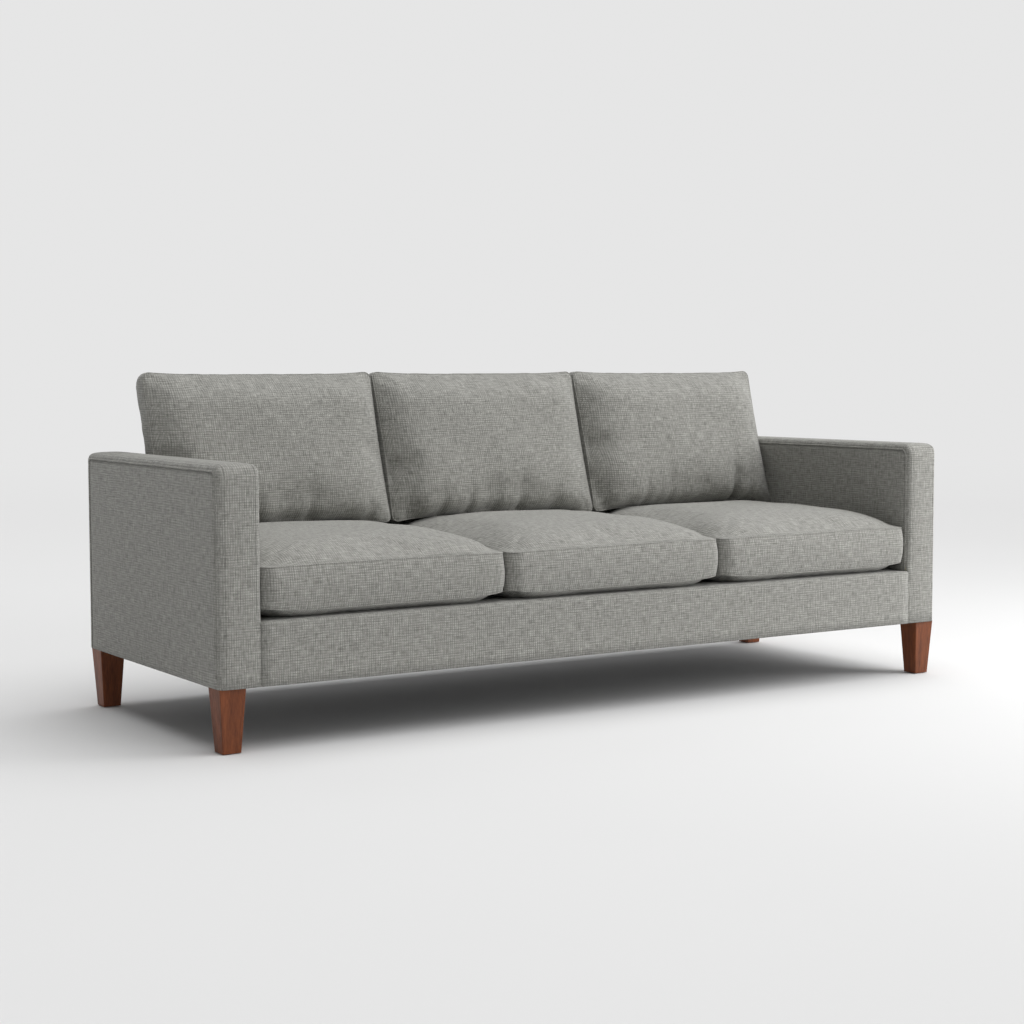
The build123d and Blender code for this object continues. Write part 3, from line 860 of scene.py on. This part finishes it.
def back_cushion(index, name, context):
    """One back cushion: leans on the inner back, swells forward, and gathers along its foot and its left seam."""
    look = context.scene.sofa_cushions
    low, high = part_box(f"back_cushion_cover_{name}")
    half_x = (high.x - low.x) / 2 - 0.0015
    middle_x = (high.x + low.x) / 2
    foot = low.z + 0.0006
    depth = look.back_thickness - 0.012
    front_top = high.z + 0.006
    rear_top = front_top - depth * UP.y
    height = (front_top - foot) / UP.z
    rng = np.random.default_rng(7 + index)
    pleats = [(rng.uniform(-0.92, 0.92), rng.uniform(0.010, 0.02), rng.uniform(0.35, 1.25)) for _ in range(PLEATS)]
    folds = [(rng.uniform(-0.85, 0.2), rng.uniform(0.02, 0.045), rng.uniform(0.3, 1.0)) for _ in range(FOLDS)]

    def place(u, v, w):
        half_h = height / 2
        x, h = rounded_place(u, v, half_x, half_h, BACK_CORNER)
        side, end = abs(x) / half_x, abs(h) / half_h
        x -= math.copysign(0.005 * (1 - (h / half_h) ** 2) * side ** 2, x)
        if v > 0:
            h -= 0.008 * (1 - (x / half_x) ** 4) * end ** 3
        left, right = (1 + u) * half_x, (1 - u) * half_x
        below, above = (1 + v) * half_h, (1 - v) * half_h
        ring = min(left, right, below, above)
        bulge = 0.0
        if w == 1:
            swollen = swell(min(left, right) / 0.14, 2.7) * swell(above / 0.1, 2.4) * swell(below / 0.06, 3.0)
            t = depth + look.back_crown * (0.8 * swollen + 0.2 * (1 - u * u) * (1 - v * v))
            t += 0.008 * math.exp(-((below - 0.11) / 0.08) ** 2) * swell(min(left, right) / 0.12)
            near_foot = math.exp(-below / 0.06) * swell(below / 0.012)
            for at, wide, deep in pleats:
                t -= 0.011 * deep * near_foot * math.exp(-((u - at) * half_x / wide) ** 2)
            near_left = math.exp(-left / 0.06) * swell(left / 0.012)
            for at, wide, deep in folds:
                t -= 0.009 * deep * near_left * math.exp(-((v - at) * half_h / wide) ** 2)
            t += 0.0016 * math.sin(6 * u + 4 * v + index) * swell(ring / 0.08)
        elif w == -1:
            t = REAR_SEAM * (1 - swell(ring / 0.06))
        else:
            t = REAR_SEAM + (depth - REAR_SEAM) * (w + 1) / 2
            bulge = 0.009 * (1 - w * w)
        x -= math.copysign(0.016 * (1 - w) / 2 * side ** 4, x)
        x += math.copysign(0.35 * bulge * side ** 8, x)
        share = (h + half_h) / (2 * half_h)
        top = rear_top + (front_top - rear_top) * min(t, depth) / depth
        sag = FOOT_SAG * side ** 6
        z = foot - sag + share * (top - foot + sag)
        if v > 0:
            z += 0.6 * bulge * end ** 8
        return (middle_x + x, leaning(z, t + BACK_CLEAR), z)

    cloth = bpy.data.materials["upholstery_weave"]
    piece, seams = closed_cushion(f"back_cushion_{name}", place, 90, 56, 12, cloth)
    rest, travel = plump(piece, seams, BACK_TRAVEL, 2.0, -0.05)
    points = rest + travel
    reach = np.abs(points[:, 0] - middle_x) / half_x
    points[:, 2] = np.maximum(points[:, 2], foot - FOOT_SAG * reach ** 6)
    points[:, 0] = np.clip(points[:, 0], low.x + 0.0018, high.x - 0.0018)
    points[:, 1] = np.minimum(points[:, 1], [leaning(z, BACK_CLEAR) for z in points[:, 2]])
    shape(piece, points)
    welts = seam_welts(piece, seams, f"back_cushion_{name}", look.welt_radius * 0.8, cloth)
    finish_cushion(piece, welts, f"back_cushion_{name}",
                   (f"back_cushion_cover_{name}", f"back_cushion_filling_{name}"))


class SOFA_OT_back_cushions(bpy.types.Operator):
    """Make the three back cushions with their welts"""

    bl_idname = "sofa.back_cushions"
    bl_label = "Make back cushions"

    def execute(self, context):
        for index, name in enumerate(SEATS):
            back_cushion(index, name, context)
        return {"FINISHED"}


# ---------------------------------------------------------------- finishes of the frame's own parts


class SOFA_OT_finishes(bpy.types.Operator):
    """Make every material, and give the legs and the frame's own parts theirs"""

    bl_idname = "sofa.finishes"
    bl_label = "Apply finishes"

    def execute(self, context):
        fabric, leg = context.scene.sofa_fabric, context.scene.sofa_legs
        woven("upholstery_weave", tuple(fabric.light_thread), tuple(fabric.dark_thread),
              fabric.thread_pitch, fabric.nap)
        woven("deck_weave", (0.15, 0.15, 0.145), (0.075, 0.075, 0.07), 0.002, 0.0003)
        woven("dust_weave", (0.032, 0.032, 0.032), (0.012, 0.012, 0.012), 0.0015, 0.0002)
        finishes = {
            "leg_wood": stained_wood("leg_walnut", tuple(leg.stain), tuple(leg.grain)),
            "frame_timber": stained_wood("frame_softwood", (0.66, 0.47, 0.27), (0.46, 0.28, 0.13), 0.6, 2.0),
            "plywood": stained_wood("birch_plywood", (0.68, 0.52, 0.33), (0.5, 0.34, 0.18), 0.6, 1.5),
            "foam": speckled("open_cell_foam", (0.66, 0.58, 0.36), (0.82, 0.75, 0.52), 900, 0.9, relief=0.0006),
            "fibre_filling": speckled("fibre_fill", (0.78, 0.78, 0.75), (0.9, 0.9, 0.88), 300, 0.95),
            "felt": speckled("needle_felt", (0.24, 0.22, 0.2), (0.42, 0.4, 0.36), 500, 0.95, relief=0.0005),
            "zinc_steel": speckled("zinc_plate", (0.5, 0.5, 0.52), (0.68, 0.68, 0.7), 200, 0.35, 1.0),
            "spring_steel": speckled("oiled_spring", (0.035, 0.035, 0.04), (0.09, 0.09, 0.1), 250, 0.4, 0.8),
            "glide_plastic": speckled("brown_nylon", (0.02, 0.016, 0.012), (0.04, 0.032, 0.026), 400, 0.5),
            "webbing": woven("elastic_webbing", (0.07, 0.07, 0.075), (0.02, 0.02, 0.024), 0.003, 0.0004),
            "upholstery": bpy.data.materials["upholstery_weave"],
            "deck_cloth": bpy.data.materials["deck_weave"],
            "dust_cloth": bpy.data.materials["dust_weave"],
        }
        for part in frame["record"]["subparts"]:
            node = frame["nodes"][part["node"]]
            node.data.materials.clear()
            node.data.materials.append(finishes[part["material_slot"]])
        return {"FINISHED"}


# ---------------------------------------------------------------- stage

CAMERA_PLACE = Vector((-2.84446, -4.34491, 0.86107))
CAMERA_YAW = 0.56905
CAMERA_PITCH = -0.07306
CAMERA_ROLL = -0.00194
CAMERA_LENS = 67.66
WALL_GLOW = 0.79
AIR_GLOW = 0.6
SKY_GLOW = 0.16
KEY_SUN = 2.68
SIDE_POWER = 58.0


def camera_axes():
    forward = Vector((math.sin(CAMERA_YAW) * math.cos(CAMERA_PITCH),
                      math.cos(CAMERA_YAW) * math.cos(CAMERA_PITCH), math.sin(CAMERA_PITCH)))
    right = Vector((math.cos(CAMERA_YAW), -math.sin(CAMERA_YAW), 0.0))
    up = right.cross(forward)
    cos, sin = math.cos(CAMERA_ROLL), math.sin(CAMERA_ROLL)
    return right * cos + up * sin, up * cos - right * sin, forward


def light(name, kind, direction, **settings):
    """A lamp that shines along direction."""
    data = bpy.data.lights.new(name, kind)
    for key, value in settings.items():
        setattr(data, key, value)
    lamp = bpy.data.objects.new(name, data)
    bpy.context.scene.collection.objects.link(lamp)
    lamp.rotation_mode = "QUATERNION"
    lamp.rotation_quaternion = direction.to_track_quat("-Z", "Y")
    return lamp


class SOFA_OT_stage(bpy.types.Operator):
    """Set the pale floor, the soft studio light and the camera"""

    bl_idname = "sofa.stage"
    bl_label = "Set stage"

    def execute(self, context):
        scene = context.scene
        n = Nodes("studio_floor")
        x, y, z = n.position()
        depth = n.math("ADD", n.math("MULTIPLY", x, math.sin(CAMERA_YAW)), n.math("MULTIPLY", y, math.cos(CAMERA_YAW)))
        far = n.span(depth, 2.5, 9.0)
        cloud = n.noise(n.combine(x, y, z), 0.6, 2.0)
        near_colour = n.mix(cloud, (0.705, 0.705, 0.705, 1.0), (0.725, 0.725, 0.725, 1.0))
        n.set(Base_Color=n.mix(far, near_colour, (0.0, 0.0, 0.0, 1.0)), Roughness=0.9, Specular_IOR_Level=0.0,
              Emission_Color=(1.0, 1.0, 1.0, 1.0), Emission_Strength=n.math("MULTIPLY", far, WALL_GLOW))
        reach, bend, wall = 16.0, 3.0, 12.0
        rows = [(-60.0, 0.0), (-30.0, 0.0)]
        rows += [(-reach + 2.0 * k, 0.0) for k in range(13)]
        rows += [(8.0 + bend * math.sin(a), bend - bend * math.cos(a))
                 for a in (math.pi / 2 * k / 12 for k in range(1, 13))]
        rows += [(8.0 + bend, wall)]
        turn = Matrix.Rotation(-CAMERA_YAW, 3, "Z")
        verts = [tuple(turn @ Vector((x, y, z))) for y, z in rows for x in (-reach, reach)]
        floor = mesh_object("studio_floor", verts, grid_faces(len(rows), 2), n.material)
        floor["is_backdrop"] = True

        light("key_sun", "SUN", -Vector((0.26, -0.17, 1.0)), energy=KEY_SUN, angle=math.radians(75))
        place, aim = Vector((2.9, -2.1, 1.25)), Vector((0.9, 0.0, 0.45))
        side = light("side_light", "AREA", aim - place, shape="RECTANGLE", size=1.8, size_y=1.5, energy=SIDE_POWER)
        side.location = place

        world = bpy.data.worlds.new("studio_air")
        world.use_nodes = True
        air = world.node_tree
        split = air.nodes.new("ShaderNodeSeparateXYZ")
        air.links.new(air.nodes.new("ShaderNodeTexCoord").outputs["Generated"], split.inputs[0])
        glow = air.nodes.new("ShaderNodeMapRange")
        for key, value in (("From Min", 0.15), ("From Max", 0.35), ("To Min", AIR_GLOW), ("To Max", SKY_GLOW)):
            glow.inputs[key].default_value = value
        air.links.new(split.outputs["Z"], glow.inputs["Value"])
        air.links.new(glow.outputs["Result"], air.nodes["Background"].inputs["Strength"])
        air.nodes["Background"].inputs["Color"].default_value = (1.0, 1.0, 1.0, 1.0)
        scene.world = world

        data = bpy.data.cameras.new("camera")
        data.lens, data.sensor_width = CAMERA_LENS, 36.0
        data.clip_end = 60.0
        camera = bpy.data.objects.new("camera", data)
        scene.collection.objects.link(camera)
        right, up, forward = camera_axes()
        turn = Matrix((right, up, -forward)).transposed().to_4x4()
        camera.matrix_world = Matrix.Translation(CAMERA_PLACE) @ turn
        scene.camera = camera
        scene.view_settings.view_transform = "Standard"
        return {"FINISHED"}


# ---------------------------------------------------------------- panel and running

STEPS = (SOFA_OT_finishes, SOFA_OT_arms, SOFA_OT_body, SOFA_OT_seat_cushions, SOFA_OT_back_cushions,
         SOFA_OT_stage)
GROUPS = {"sofa_fabric": SofaFabricSettings, "sofa_cushions": SofaCushionSettings, "sofa_legs": SofaLegSettings}


class SOFA_PT_panel(bpy.types.Panel):
    """The sofa's settings, and a button for each step"""

    bl_label = "Sofa"
    bl_idname = "SOFA_PT_panel"
    bl_space_type = "VIEW_3D"
    bl_region_type = "UI"
    bl_category = "Sofa"

    def draw(self, context):
        for name, group in GROUPS.items():
            box = self.layout.box()
            for key in group.__annotations__:
                box.prop(getattr(context.scene, name), key)
        for step in STEPS:
            self.layout.operator(step.bl_idname)


def register():
    for item in (*GROUPS.values(), *STEPS, SOFA_PT_panel):
        bpy.utils.register_class(item)
    for name, group in GROUPS.items():
        setattr(bpy.types.Scene, name, bpy.props.PointerProperty(type=group))


def unregister():
    for name in GROUPS:
        delattr(bpy.types.Scene, name)
    for item in (SOFA_PT_panel, *reversed(STEPS), *GROUPS.values()):
        bpy.utils.unregister_class(item)


def main():
    register()
    for step in STEPS:
        group, name = step.bl_idname.split(".")
        getattr(getattr(bpy.ops, group), name)()
    boxes = {"cad": cad_box, "visual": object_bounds()}
    {key: [list(corner) for corner in box] for key, box in boxes.items()}


if __name__ == "__main__":
    main()
